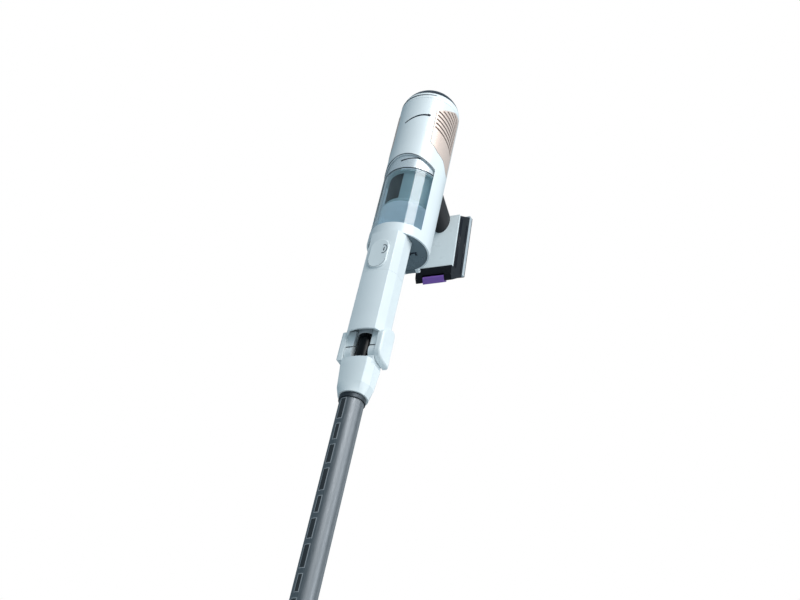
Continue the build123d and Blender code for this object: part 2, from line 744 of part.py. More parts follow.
lens_radius = 20.0
mode_radius = 7.0
lens_low_z = top_z - 6.5
with BuildPart() as top_cap:
    add(dome_slice(rim_z, top_z))
    add(dome_slice(rim_z - 1, top_z - 3.0, 3.0), mode=Mode.SUBTRACT)
    add(ring(lens_radius + seat_gap, 0, lens_low_z, top_z + 5), mode=Mode.SUBTRACT)
    add(ring(lens_radius + 2, mode_radius + fit_gap, lens_low_z - 3, lens_low_z - seat_gap))
save(top_cap.part, "top_cap")

with BuildPart() as display_lens:
    add(dome_slice(rim_z, top_z) & ring(lens_radius, mode_radius + fit_gap, lens_low_z, top_z + 5))
save(display_lens.part, "display_lens")

with BuildPart() as mode_button:
    add(ring(mode_radius, 0, lens_low_z - 1.5, top_z - 0.3))
    fillet(mode_button.edges().filter_by(GeomType.CIRCLE).sort_by(Axis.Z)[-1], 1)
save(mode_button.part, "mode_button")

# ---------------------------------------------------------------- grip and trigger
grip_length = hypot(grip_foot[0] - grip_root[0], grip_foot[1] - grip_root[1])
grip_dir = ((grip_foot[0] - grip_root[0]) / grip_length, (grip_foot[1] - grip_root[1]) / grip_length)
plate_length = hypot(dock_foot[0] - dock_top[0], dock_foot[1] - dock_top[1])
plate_dir = ((dock_foot[0] - dock_top[0]) / plate_length, (dock_foot[1] - dock_top[1]) / plate_length)


def on_grip(along, below):
    """Y and Z of a point so far along the grip's axis and so far under it."""
    y = grip_root[0] + along * grip_dir[0] + below * grip_dir[1]
    z = grip_root[1] + along * grip_dir[1] - below * grip_dir[0]
    return (y, z)


def on_dock(down, depth):
    """Y and Z of a point so far down the dock plate's front face and so far behind it."""
    y = dock_top[0] + down * plate_dir[0] - depth * plate_dir[1]
    z = dock_top[1] + down * plate_dir[1] + depth * plate_dir[0]
    return (y, z)


grip_plane = Plane((0, *grip_root), x_dir=(1, 0, 0), z_dir=(0, *grip_dir))
behind_plate = side_prism(
    [on_dock(-80, -0.1), on_dock(180, -0.1), on_dock(180, 60), on_dock(-80, 60)], -50, 50
)
with BuildPart() as grip:
    with BuildSketch(grip_plane):
        Ellipse(grip_half_width, grip_half_height)
    extrude(amount=grip_length + 20)
    with BuildSketch(grip_plane):
        Ellipse(grip_half_width - grip_wall, grip_half_height - grip_wall)
    extrude(amount=grip_length + 20, mode=Mode.SUBTRACT)
    add(ring(49.7, 0, 900, 1200), mode=Mode.SUBTRACT)
    add(behind_plate, mode=Mode.SUBTRACT)
    add(
        side_prism([on_grip(21.6, 8), on_grip(46.4, 8), on_grip(46.4, 40), on_grip(21.6, 40)], -7.4, 7.4),
        mode=Mode.SUBTRACT,
    )
save(grip.part, "grip")

with BuildPart() as trigger:
    add(
        side_prism(
            [
                on_grip(22, 12), on_grip(46, 12), on_grip(46, 22), on_grip(41, 25),
                on_grip(33, 23.5), on_grip(26, 26), on_grip(22, 24),
            ],
            -7, 7, 1.2,
        )
    )
save(trigger.part, "trigger")

# ---------------------------------------------------------------- dock plate and battery
with BuildPart() as battery_dock:
    add(
        side_prism(
            [on_dock(-2, 0), on_dock(plate_length, 0), on_dock(plate_length, 3), on_dock(-2, 3)],
            -dock_half_width, dock_half_width,
        )
    )
    add(side_prism([on_dock(12, 2), on_dock(74.5, 2), on_dock(74.5, 8.4), on_dock(12, 8.4)], -11, 11))
save(battery_dock.part, "battery_dock")

tab_half_width = 18.0
tab_top = 110.6
tab_back = 12.0
pocket_top = tab_top - 2
pocket_back = tab_back + fit_gap
with BuildPart() as battery_case:
    add(
        side_prism(
            [
                on_dock(-1.7, 3.3), on_dock(95.9, 3.3), on_dock(95.9, -2.5), on_dock(112, -1),
                on_dock(119.5, 4.2), on_dock(93.6, 37), on_dock(-21.5, 37),
            ],
            -dock_half_width, dock_half_width,
        )
    )
    fillet(battery_case.edges().filter_by(Axis.X).group_by(Axis.Z)[0], 2)
    add(
        side_prism([on_dock(7, 13), on_dock(88.5, 13), on_dock(88.5, 34.5), on_dock(7, 34.5)], -28, 28),
        mode=Mode.SUBTRACT,
    )
    add(
        side_prism([on_dock(-30, 0), on_dock(75.2, 0), on_dock(75.2, 8.8), on_dock(-30, 8.8)], -11.4, 11.4),
        mode=Mode.SUBTRACT,
    )
    # pocket of the release tab, open at the foot's front and underside
    add(
        side_prism(
            [
                on_dock(pocket_top, -6), on_dock(130, -6),
                on_dock(130, pocket_back), on_dock(pocket_top, pocket_back),
            ],
            -tab_half_width - fit_gap, tab_half_width + fit_gap,
        ),
        mode=Mode.SUBTRACT,
    )
save(battery_case.part, "battery_case")

with BuildPart() as battery_release:
    add(
        side_prism(
            [
                on_dock(tab_top, 0.2), on_dock(114, -0.3), on_dock(122.5, 4),
                on_dock(tab_top + 6, tab_back), on_dock(tab_top, tab_back),
            ],
            -tab_half_width, tab_half_width, 0.8,
        )
    )
save(battery_release.part, "battery_release")

with BuildPart() as battery_back:
    add(
        side_prism(
            [on_dock(-25, 37.2), on_dock(88, 37.2), on_dock(88, 46), on_dock(-25, 46)],
            -dock_half_width, dock_half_width,
        )
    )
    fillet(battery_back.faces().sort_by(Axis.Y)[-1].edges(), 1.5)
save(battery_back.part, "battery_back")

cell_plane = Plane((0, *on_dock(20, 24)), x_dir=(1, 0, 0), z_dir=(0, *plate_dir))
with BuildPart() as battery_cells:
    with BuildSketch(cell_plane):
        with Locations((-2 * cell_radius - 0.1, 0), (0, 0), (2 * cell_radius + 0.1, 0)):
            Circle(cell_radius)
    extrude(amount=cell_length)
save(battery_cells.part, "battery_cells")
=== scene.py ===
"""Looks of the cordless stick vacuum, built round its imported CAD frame. Units are metres."""
import json
from math import atan2, cos, degrees, pi, radians, sin, tau

import bmesh
import bpy
from mathutils import Matrix, Vector


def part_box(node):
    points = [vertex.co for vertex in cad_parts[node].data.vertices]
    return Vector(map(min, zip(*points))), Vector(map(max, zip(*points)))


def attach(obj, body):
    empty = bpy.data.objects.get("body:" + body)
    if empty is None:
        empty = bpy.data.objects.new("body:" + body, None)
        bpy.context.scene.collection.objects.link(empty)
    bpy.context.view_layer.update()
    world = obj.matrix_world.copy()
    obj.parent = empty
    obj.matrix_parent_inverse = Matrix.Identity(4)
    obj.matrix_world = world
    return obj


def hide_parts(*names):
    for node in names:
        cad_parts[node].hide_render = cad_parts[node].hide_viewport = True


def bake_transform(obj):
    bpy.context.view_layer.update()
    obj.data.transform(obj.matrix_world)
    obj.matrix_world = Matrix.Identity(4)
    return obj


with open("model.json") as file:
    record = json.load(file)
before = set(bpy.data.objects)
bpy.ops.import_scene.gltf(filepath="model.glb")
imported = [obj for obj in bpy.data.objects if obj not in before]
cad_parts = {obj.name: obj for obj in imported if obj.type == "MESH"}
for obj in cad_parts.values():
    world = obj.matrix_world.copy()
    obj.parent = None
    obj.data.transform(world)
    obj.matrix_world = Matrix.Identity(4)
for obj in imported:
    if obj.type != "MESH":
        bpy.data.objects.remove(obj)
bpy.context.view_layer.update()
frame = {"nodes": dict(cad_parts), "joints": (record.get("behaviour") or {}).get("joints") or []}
nodes = frame["nodes"]


def box_middle(node):
    """The middle of a CAD node's box."""
    low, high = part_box(node)
    return (low + high) / 2


# places and sizes taken from the frame
shell_low, shell_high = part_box("main_shell")
tube_low, tube_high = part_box("wand_tube")
cup_low, cup_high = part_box("dust_cup")
body_y = box_middle("dust_cup").y
wand_y = box_middle("wand_tube").y
shell_radius = (shell_high.x - shell_low.x) / 2
cup_radius = (cup_high.x - cup_low.x) / 2
tube_radius = (tube_high.x - tube_low.x) / 2
flex_joint = next(joint for joint in frame["joints"] if joint["name"] == "wand_flex")
hinge_z = flex_joint["pos_m"][2]


# ---------------------------------------------------------------- materials
def new_material(name):
    """An empty node material with a Principled shader; returns (material, nodes, links, shader)."""
    material = bpy.data.materials.new(name)
    material.use_nodes = True
    tree = material.node_tree
    shader = tree.nodes["Principled BSDF"]
    return material, tree.nodes, tree.links, shader


def noise(tree_nodes, links, scale, detail=3.0, stretch=(1, 1, 1)):
    """A noise texture in the piece's own coordinates, in cells per metre."""
    place = tree_nodes.new("ShaderNodeTexCoord")
    mapping = tree_nodes.new("ShaderNodeMapping")
    mapping.inputs["Scale"].default_value = stretch
    texture = tree_nodes.new("ShaderNodeTexNoise")
    texture.inputs["Scale"].default_value = scale
    texture.inputs["Detail"].default_value = detail
    links.new(place.outputs["Object"], mapping.inputs["Vector"])
    links.new(mapping.outputs["Vector"], texture.inputs["Vector"])
    return texture.outputs["Fac"]


def remap(tree_nodes, links, value, low, high):
    """A 0..1 value spread over a new range."""
    node = tree_nodes.new("ShaderNodeMapRange")
    node.inputs["From Min"].default_value = 0.3
    node.inputs["From Max"].default_value = 0.7
    node.inputs["To Min"].default_value = low
    node.inputs["To Max"].default_value = high
    links.new(value, node.inputs["Value"])
    return node.outputs["Result"]


def shade_between(tree_nodes, links, value, first, second):
    """A colour that wanders between two shades."""
    ramp = tree_nodes.new("ShaderNodeValToRGB")
    ramp.color_ramp.elements[0].position = 0.35
    ramp.color_ramp.elements[1].position = 0.65
    ramp.color_ramp.elements[0].color = (*first, 1)
    ramp.color_ramp.elements[1].color = (*second, 1)
    links.new(value, ramp.inputs["Fac"])
    return ramp.outputs["Color"]


def bump(tree_nodes, links, height, strength, distance):
    """A bump node fed by a height."""
    node = tree_nodes.new("ShaderNodeBump")
    node.inputs["Strength"].default_value = strength
    node.inputs["Distance"].default_value = distance
    links.new(height, node.inputs["Height"])
    return node.outputs["Normal"]


def edge_wear(tree_nodes, links, colour, worn, amount):
    """Mixes a worn shade into the colour along convex edges."""
    geometry = tree_nodes.new("ShaderNodeNewGeometry")
    edge = tree_nodes.new("ShaderNodeMapRange")
    edge.inputs["From Min"].default_value = 0.53
    edge.inputs["From Max"].default_value = 0.62
    edge.inputs["To Max"].default_value = amount
    mix = tree_nodes.new("ShaderNodeMix")
    mix.data_type = "RGBA"
    mix.inputs["B"].default_value = (*worn, 1)
    links.new(geometry.outputs["Pointiness"], edge.inputs["Value"])
    links.new(edge.outputs["Result"], mix.inputs["Factor"])
    links.new(colour, mix.inputs["A"])
    return mix.outputs["Result"]


def moulded(
    name, colour, rough=0.35, grain=0.05, grain_scale=2500, drift=0.03, coat=0.0, worn=None, shine=0.5
):
    """Moulded plastic: a faint drift of shade, a patchy gloss, a fine grain and rubbed edges."""
    material, tree_nodes, links, shader = new_material(name)
    slow = noise(tree_nodes, links, 14)
    dark = tuple(max(0, part * (1 - drift)) for part in colour)
    light = tuple(min(1, part * (1 + drift)) for part in colour)
    shade = shade_between(tree_nodes, links, slow, dark, light)
    if worn:
        shade = edge_wear(tree_nodes, links, shade, worn, 0.35)
    links.new(shade, shader.inputs["Base Color"])
    smudge = noise(tree_nodes, links, 60, 5)
    gloss = remap(tree_nodes, links, smudge, rough * 0.85, rough * 1.2)
    links.new(gloss, shader.inputs["Roughness"])
    fine = noise(tree_nodes, links, grain_scale, 2)
    links.new(bump(tree_nodes, links, fine, grain, 0.0002), shader.inputs["Normal"])
    shader.inputs["Coat Weight"].default_value = coat
    shader.inputs["Coat Roughness"].default_value = 0.08
    shader.inputs["Specular IOR Level"].default_value = shine
    return material


def metal(name, colour, rough=0.3, stretch=(1, 1, 1), scale=900, strength=0.08, metallic=1.0):
    """Metal with a directional grain that breaks up its reflections."""
    material, tree_nodes, links, shader = new_material(name)
    grain = noise(tree_nodes, links, scale, 4, stretch)
    dark = tuple(part * 0.9 for part in colour)
    light = tuple(min(1, part * 1.08) for part in colour)
    links.new(shade_between(tree_nodes, links, grain, dark, light), shader.inputs["Base Color"])
    gloss = remap(tree_nodes, links, grain, rough * 0.8, rough * 1.3)
    links.new(gloss, shader.inputs["Roughness"])
    links.new(bump(tree_nodes, links, grain, strength, 0.0002), shader.inputs["Normal"])
    shader.inputs["Metallic"].default_value = metallic
    return material


def clear_plastic(name, colour, rough, tint_rough, clearness=1.0, shine=1.0):
    """Clear moulded plastic with faint dust and smears in its gloss."""
    material, tree_nodes, links, shader = new_material(name)
    shader.inputs["Base Color"].default_value = (*colour, 1)
    shader.inputs["Transmission Weight"].default_value = clearness
    shader.inputs["IOR"].default_value = 1.45
    shader.inputs["Specular IOR Level"].default_value = shine
    dust = noise(tree_nodes, links, 90, 6)
    gloss = remap(tree_nodes, links, dust, rough, tint_rough)
    links.new(gloss, shader.inputs["Roughness"])
    return material


def soft(name, colour, rough=0.85, scale=1500, strength=0.5, sheen=0.3):
    """Felt, foam, bristle and rubber: a matt, broken surface."""
    material, tree_nodes, links, shader = new_material(name)
    fibre = noise(tree_nodes, links, scale, 5)
    dark = tuple(part * 0.8 for part in colour)
    light = tuple(min(1, part * 1.2) for part in colour)
    links.new(shade_between(tree_nodes, links, fibre, dark, light), shader.inputs["Base Color"])
    links.new(remap(tree_nodes, links, fibre, rough * 0.9, min(1, rough * 1.1)), shader.inputs["Roughness"])
    links.new(bump(tree_nodes, links, fibre, strength, 0.0003), shader.inputs["Normal"])
    shader.inputs["Sheen Weight"].default_value = sheen
    return material


def painted_glow(name, colour, strength):
    """Milky plastic with painted light: its colour is also emitted, standing in for light passing through it.
    """
    material, tree_nodes, links, shader = new_material(name)
    cloud = noise(tree_nodes, links, 30, 4)
    dark = tuple(part * 0.88 for part in colour)
    shade = shade_between(tree_nodes, links, cloud, dark, colour)
    links.new(shade, shader.inputs["Base Color"])
    links.new(shade, shader.inputs["Emission Color"])
    shader.inputs["Emission Strength"].default_value = strength
    links.new(remap(tree_nodes, links, cloud, 0.45, 0.6), shader.inputs["Roughness"])
    return material


white = moulded("white_shell_plastic", (0.77, 0.83, 0.845), 0.34, 0.04, coat=0.2, worn=(0.70, 0.75, 0.78))
white_trim = moulded("white_trim_plastic", (0.74, 0.80, 0.815), 0.30, 0.03, coat=0.3)
rose = metal("rose_panel_paint", (0.70, 0.575, 0.51), 0.45, scale=2200, strength=0.03, metallic=0.45)
silver = metal("silver_trim_metal", (0.74, 0.79, 0.82), 0.3, stretch=(1, 1, 12), metallic=0.55)
# also the painted shade behind the shroud's screens
black = moulded("black_plastic", (0.003, 0.003, 0.005), 0.32, 0.1, worn=(0.015, 0.015, 0.02), shine=0.22)
black_gloss = moulded("dark_gloss_plastic", (0.005, 0.007, 0.016), 0.2, 0.02, coat=0.15, shine=0.35)
soft_black = soft("soft_touch_black", (0.007, 0.007, 0.009), 0.6, 2600, 0.35, 0.05)
rubber = soft("black_rubber", (0.006, 0.006, 0.007), 0.35, 1800, 0.15, 0.0)
tyre = soft("tyre_rubber", (0.05, 0.05, 0.055), 0.7, 1400, 0.5, 0.1)
felt = soft("grey_felt", (0.22, 0.22, 0.24), 0.95, 2200, 0.8, 0.6)
foam = soft("filter_foam", (0.70, 0.70, 0.66), 0.95, 900, 1.0, 0.3)
sleeve = moulded("grey_sleeve_plastic", (0.50, 0.54, 0.57), 0.4, 0.08)
tube_grey = metal("anodised_grey_tube", (0.20, 0.215, 0.23), 0.46, stretch=(1, 1, 0.04), scale=1600)
# painted light: the shroud frame, its floor plate, the sheet at the back of the cup and the cone emit their
# own colour
shroud_glow = painted_glow("shroud_frame_painted_glow", (0.16, 0.26, 0.30), 0.45)
milky_glow = painted_glow("milky_painted_glow", (0.30, 0.42, 0.50), 0.62)
cone_glow = painted_glow("cone_painted_glow", (0.50, 0.60, 0.66), 0.5)
shroud_dark = metal("shroud_steel", (0.05, 0.06, 0.065), 0.5, scale=1200)
steel = metal("bright_steel", (0.55, 0.55, 0.57), 0.28, stretch=(0.1, 1, 1))
cast = metal("impeller_metal", (0.60, 0.61, 0.63), 0.35)
purple = moulded("purple_tab_plastic", (0.16, 0.055, 0.36), 0.38, 0.1, worn=(0.30, 0.18, 0.5))
cell_wrap = moulded("cell_wrap_plastic", (0.05, 0.25, 0.35), 0.25, 0.05)
bristle = soft("bristle_nylon", (0.16, 0.16, 0.20), 0.6, 3000, 0.4, 0.2)
clear = clear_plastic("clear_cup_plastic", (0.90, 0.95, 0.97), 0.02, 0.07)
smoked = clear_plastic("smoked_door_plastic", (0.17, 0.22, 0.25), 0.15, 0.3, clearness=0.3, shine=0.5)
# dark print marks; also painted shade in the hinge gaps and on the screw heads
dark_mark_and_shade = moulded("dark_inlay_and_shade", (0.008, 0.014, 0.026), 0.45, 0.05, shine=0.15)
pale_mark = moulded("pale_inlay", (0.62, 0.66, 0.70), 0.35, 0.05)
tube_fill = moulded("tube_block_inlay", (0.035, 0.04, 0.045), 0.5, 0.05, shine=0.2)
tube_line = moulded("tube_line_inlay", (0.30, 0.32, 0.34), 0.45, 0.05)
collar_grey = metal("collar_grey_metal", (0.07, 0.08, 0.09), 0.45, scale=1400)
hose_black = moulded("hose_plastic", (0.002, 0.002, 0.003), 0.3, 0.08, shine=0.2)
copper = metal("copper_winding", (0.62, 0.28, 0.14), 0.35)

node_materials = {
    white: [
        "main_shell", "nozzle", "upper_wand", "lower_knuckle", "filter_ring", "head_cover", "neck_socket",
    ],
    white_trim: [
        "wand_release_button", "battery_dock", "flex_lock_button", "head_release_button",
        "head_end_cap_left", "head_end_cap_right",
    ],
    rose: ["side_panel_left", "side_panel_right"],
    silver: ["cup_trim_band", "battery_back"],
    clear: ["dust_cup", "headlight_lens"],
    smoked: ["cup_door"],
    black_gloss: ["display_lens", "top_cap"],
    soft_black: ["grip"],
    black: [
        "rear_spine", "battery_case", "trigger", "mode_button", "door_latch", "head_base", "neck_yoke",
        "brush_core", "motor_mount", "brush_pulley", "motor_pulley", "inlet_duct",
    ],
    sleeve: ["hose_cuff"],
    cone_glow: ["separator_cone"],
    shroud_glow: ["shroud_mesh"],
    tube_grey: ["wand_tube"],
    collar_grey: ["tube_collar_ring"],
    steel: [
        "head_screws", "head_pins", "flex_pins", "door_hinge_pin", "head_motor", "motor_can", "motor_stator",
    ],
    cast: ["impeller_rotor"],
    rubber: ["door_seal", "front_bumper", "drive_belt", "flex_hose"],
    tyre: ["wheel_left", "wheel_right"],
    felt: ["glide_pads"],
    foam: ["pre_filter", "post_filter"],
    bristle: ["brush_strips"],
    purple: ["battery_release"],
    cell_wrap: ["battery_cells"],
}
for material, names in node_materials.items():
    for name in names:
        nodes[name].data.materials.clear()
        nodes[name].data.materials.append(material)


# ---------------------------------------------------------------- detail pieces
def finish_piece(name, mesh, material, body, smooth=True):
    """Turns a bmesh into a shown piece that rides on a body."""
    bmesh.ops.recalc_face_normals(mesh, faces=mesh.faces)
    data = bpy.data.meshes.new(name)
    mesh.to_mesh(data)
    mesh.free()
    if smooth:
        data.shade_smooth()
    piece = bpy.data.objects.new(name, data)
    piece.data.materials.append(material)
    bpy.context.scene.collection.objects.link(piece)
    if body:
        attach(piece, body)
    return piece


def add_loft(mesh, rings, closed=False):
    """Joins rings of equally many points into a skin and caps its ends."""
    rows = [[mesh.verts.new(point) for point in ring] for ring in rings]
    pairs = list(zip(rows, rows[1:]))
    if closed:
        pairs.append((rows[-1], rows[0]))
    for low, high in pairs:
        for count in range(len(low)):
            after = (count + 1) % len(low)
            mesh.faces.new((low[count], low[after], high[after], high[count]))
    if not closed:
        mesh.faces.new(list(reversed(rows[0])))
        mesh.faces.new(rows[-1])


def on_round(radius, azimuth, z, y=body_y):
    """A point on a standing cylinder; azimuth 0 is the front and 90 the right."""
    angle = radians(azimuth)
    return Vector((radius * sin(angle), y - radius * cos(angle), z))


def ribbon(mesh, path, width, lift, y=body_y, thick=0.0006):
    """A raised line on a standing round surface, with one (azimuth, z, radius) and one width a point."""
    rings = []
    for count, (azimuth, z, radius) in enumerate(path):
        before = path[max(0, count - 1)]
        after = path[min(len(path) - 1, count + 1)]
        run = radians(after[0] - before[0]) * radius
        rise = after[1] - before[1]
        length = max(1e-9, (run * run + rise * rise) ** 0.5)
        half = width[count] / 2
        turn_by = -rise / length * half / radius
        up_by = run / length * half
        ring = []
        for side, depth in ((-1, lift), (1, lift), (1, lift - thick), (-1, lift - thick)):
            angle = radians(azimuth) + side * turn_by
            reach = radius + depth
            ring.append((reach * sin(angle), y - reach * cos(angle), z + side * up_by))
        rings.append(ring)
    add_loft(mesh, rings)


def spread(start, end, count):
    """Evenly spaced numbers from start to end."""
    return [start + (end - start) * step / (count - 1) for step in range(count)]


def rod(mesh, points, radius, closed=False, segments=8):
    """A round wire along points."""
    points = [Vector(point) for point in points]
    rings = []
    last_side = None
    for count, point in enumerate(points):
        if closed:
            along = points[(count + 1) % len(points)] - points[count - 1]
        else:
            along = points[min(len(points) - 1, count + 1)] - points[max(0, count - 1)]
        along.normalize()
        guide = last_side or (Vector((0, 0, 1)) if abs(along.z) < 0.9 else Vector((1, 0, 0)))
        side = (guide - along * guide.dot(along)).normalized()
        last_side = side
        other = along.cross(side)
        ring = []
        for step in range(segments):
            angle = tau * step / segments
            ring.append(point + side * radius * cos(angle) + other * radius * sin(angle))
        rings.append(ring)
    add_loft(mesh, rings, closed)


def block(mesh, low, high):
    """A box between two corners with its edges softened."""
    made = bmesh.ops.create_cube(mesh, size=1)
    size = [top - bottom for bottom, top in zip(low, high)]
    middle = [(top + bottom) / 2 for bottom, top in zip(low, high)]
    for vertex in made["verts"]:
        vertex.co = Vector([part * extent + place for part, extent, place in zip(vertex.co, size, middle)])
    edges = {edge for vertex in made["verts"] for edge in vertex.link_edges}
    bmesh.ops.bevel(mesh, geom=list(edges), offset=min(size) * 0.2, segments=2, affect="EDGES")


def turned(mesh, profile, place, axis="z", steps=72):
    """A closed profile of (radius, level) pairs turned about a standing or a sideways axis."""
    rings = []
    for step in range(steps):
        angle = tau * step / steps
        ring = []
        for radius, level in profile:
            if axis == "z":
                ring.append(Vector((radius * cos(angle), radius * sin(angle), level)) + place)
            else:
                ring.append(Vector((level, radius * cos(angle), radius * sin(angle))) + place)
        rings.append(ring)
    add_loft(mesh, rings, closed=True)


def steady(count, size):
    """The same width at each point of a path."""
    return [size] * count


# ---------------------------------------------------------------- the shell and the cup's band
def add_shell_streak():
    """The plain curved streak on the shell's front, which widens towards the dot at its end."""
    first_azimuth, last_azimuth = -17, 27
    start_z, rise = 1.0765, 0.0125
    thin, widening = 0.0022, 0.0010
    dot_radius, dot_height, dot_sink = 0.0026, 0.0010, 0.0008
    count = 16
    streak = bmesh.new()
    path = []
    for azimuth in spread(first_azimuth, last_azimuth, count):
        share = (azimuth - first_azimuth) / (last_azimuth - first_azimuth)
        path.append((azimuth, start_z + rise * sin(share * pi / 2), shell_radius))
    ribbon(streak, path, [thin + widening * (step / (count - 1)) for step in range(count)], 0.00022)
    dot_place = on_round(shell_radius - dot_sink, 29.5, 1.0893)
    dot_axis = (dot_place - Vector((0, body_y, dot_place.z))).normalized()
    rod(streak, [dot_place, dot_place + dot_axis * dot_height], dot_radius, segments=20)
    finish_piece("shell_streak", streak, dark_mark_and_shade, "handheld", smooth=False)


def dome_reach(z, base, top):
    """The radius of the domed top at a height between its base and its top."""
    rise = max(0.0, (z - base) / (top - base))
    return (shell_radius - 0.0002) * (1 - rise * rise) ** 0.5


def add_seam_line():
    """The seam round the front of the dome, which climbs and thins out towards the right."""
    cap_low, cap_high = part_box("top_cap")
    dome_base = cap_low.z - 0.012
    seam_start, seam_rise = 0.0022, 0.0042
    first_azimuth, azimuth_span = -88, 124
    wide, thinning = 0.0048, 0.0034
    count = 40
    seam = bmesh.new()
    path = []
    for step in range(count):
        share = step / (count - 1)
        z = dome_base + seam_start + seam_rise * share
        path.append((first_azimuth + azimuth_span * share, z, dome_reach(z, dome_base, cap_high.z)))
    ribbon(seam, path, [wide - thinning * step / (count - 1) for step in range(count)], 0.00022)
    finish_piece("shell_seam_line", seam, dark_mark_and_shade, "handheld", smooth=False)


def add_arch_line():
    """The dark line along the arch over the cup's window."""
    window_half = 0.0429
    side_z, top_z = 0.987, 1.005
    end_gap, above = 0.0002, 0.0010
    wide, thinning = 0.0021, 0.0010
    rise = top_z - side_z
    arch_radius = (window_half**2 + rise**2) / (2 * rise)
    count = 40
    arch = bmesh.new()
    path = []
    for x in spread(-window_half + end_gap, window_half - end_gap, count):
        z = top_z - arch_radius + (arch_radius**2 - x**2) ** 0.5 + above
        path.append((degrees(atan2(x, (shell_radius**2 - x**2) ** 0.5)), z, shell_radius))
    ribbon(arch, path, [wide - thinning * step / (count - 1) for step in range(count)], 0.00015)
    finish_piece("window_arch_line", arch, dark_mark_and_shade, "handheld", smooth=False)


def add_band_lines():
    """The line under the trim band, and the curved dash on it."""
    band_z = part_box("cup_trim_band")[0].z
    edge_count = 40
    dash_count = 24
    first_azimuth, last_azimuth = -6, 40
    dash_z, dash_rise = 0.9946, 0.0054
    dash_wide, dash_thinning = 0.0030, 0.0014
    lift = 0.0002
    lines = bmesh.new()
    edge_path = [(azimuth, band_z, cup_radius) for azimuth in spread(-76, 76, edge_count)]
    ribbon(lines, edge_path, steady(edge_count, 0.0016), lift)
    dash_path = []
    for azimuth in spread(first_azimuth, last_azimuth, dash_count):
        share = (azimuth - first_azimuth) / (last_azimuth - first_azimuth)
        dash_path.append((azimuth, dash_z + dash_rise * sin(share * pi / 2), cup_radius))
    dash_width = [dash_wide - dash_thinning * sin(pi * step / (dash_count - 1)) for step in range(dash_count)]
    ribbon(lines, dash_path, dash_width, lift)
    finish_piece("trim_band_lines", lines, dark_mark_and_shade, "handheld", smooth=False)


# ---------------------------------------------------------------- the cup's door and its inside
def add_door_marks():
    """The dark line round the door's rim, and the sliding catch's mark under the door."""
    rim_z = 0.8502
    rim_clear, rim_wire = 0.00015, 0.00035
    rim = bmesh.new()
    rim_points = [on_round(cup_radius + rim_clear, azimuth, rim_z) for azimuth in spread(55, 305, 80)]
    rod(rim, rim_points, rim_wire)
    finish_piece("door_rim_line", rim, dark_mark_and_shade, "cup_door")

    mark_low, mark_high = 0.8494, 0.8501
    # the bar and its two feet, each as left, right, front and rear
    bars = (
        (0.0165, 0.0275, 0.006, 0.0085),
        (0.0145, 0.0175, 0.0035, 0.011),
        (0.0235, 0.0262, 0.0095, 0.0135),
    )
    mark = bmesh.new()
    for left, right, front, rear in bars:
        block(mark, (left, body_y + front, mark_low), (right, body_y + rear, mark_high))
    finish_piece("door_slide_mark", mark, dark_mark_and_shade, "cup_door")


def add_cup_glow_sheet():
    """A sheet at the back half of the cup that emits its own colour: painted light that brightens what shows
    through the clear cup.
    """
    low, high = 0.8565, 0.9750
    radius = 0.0417
    count = 60
    glow_sheet = bmesh.new()
    path = [(azimuth, (low + high) / 2, radius) for azimuth in spread(72, 288, count)]
    ribbon(glow_sheet, path, steady(count, high - low), 0.0)
    finish_piece("cup_back_glow_sheet", glow_sheet, milky_glow, "handheld")


def add_shroud_screens():
    """Two wire screens on the shroud's wall, each backed by a black sheet of painted shade for the dark
    inside behind its mesh, and the plate that closes it below, which emits its own colour as painted light.
    """
    wall = 0.036
    span = 76
    low, high = 0.9245, 0.9737
    columns, rows = 40, 34
    wire_lift, wire_radius = 0.0004, 0.00022
    back_count, wire_count = 22, 16
    shade_backs = bmesh.new()
    wires = bmesh.new()
    for start in (-74, 106):
        path = [(azimuth, (low + high) / 2, wall) for azimuth in spread(start, start + span, back_count)]
        # a black sheet of painted shade behind each screen
        ribbon(shade_backs, path, steady(back_count, high - low), 0.0002, thick=0.0003)
        for column in range(columns + 1):
            azimuth = start + span * column / columns
            upright = [on_round(wall + wire_lift, azimuth, z) for z in (low, high)]
            rod(wires, upright, wire_radius, segments=4)
        for row in range(rows + 1):
            z = low + (high - low) * row / rows
            azimuths = spread(start, start + span, wire_count)
            hoop = [on_round(wall + wire_lift, azimuth, z) for azimuth in azimuths]
            rod(wires, hoop, wire_radius, segments=4)
    finish_piece("shroud_screen_shade_backs", shade_backs, black, "handheld", smooth=False)

    plate = bmesh.new()
    plate_profile = [
        (0.0005, 0.9136), (0.030, 0.9142), (0.0388, 0.9158),
        (0.0388, 0.9150), (0.030, 0.9132), (0.0005, 0.9126),
    ]
    turned(plate, plate_profile, Vector((0, body_y, 0)))
    finish_piece("shroud_floor_plate", plate, milky_glow, "handheld")
    finish_piece("shroud_screen_wires", wires, shroud_dark, "handheld", smooth=False)


# ---------------------------------------------------------------- the wand
def add_flex_hose():
    """The flex hose with shallow ribs."""
    low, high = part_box("flex_hose")
    outer = (high.x - low.x) / 2
    rib_pitch, rib_depth = 0.0021, 0.0006
    wall = 0.0016
    rows = 2 * round((high.z - low.z) / rib_pitch)
    profile = []
    for row in range(rows + 1):
        z = low.z + (high.z - low.z) * row / rows
        profile.append((outer - (rib_depth if row % 2 else 0.0), z))
    profile += [(outer - wall, high.z), (outer - wall, low.z)]
    hose = bmesh.new()
    turned(hose, profile, Vector((0, wand_y, 0)), steps=48)
    piece = finish_piece("ribbed_flex_hose", hose, hose_black, None)
    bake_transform(piece)
    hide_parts("flex_hose")


def add_hinge_shadow_lines():
    """Painted shadow: dark filler in the gap between the knuckle's drums and the upper cheeks."""
    gap_radius = 0.0135
    cheek_front = 0.0110
    inner_x, length = 0.0134, 0.0098
    gap_rise = (gap_radius**2 - cheek_front**2) ** 0.5
    lines = bmesh.new()
    for side in (-1, 1):
        inner = Vector((side * inner_x, wand_y - cheek_front, hinge_z + gap_rise))
        rod(lines, [inner, inner + Vector((side * length, 0, 0))], 0.00045)
    finish_piece("hinge_shadow_lines", lines, dark_mark_and_shade, "lower_wand")


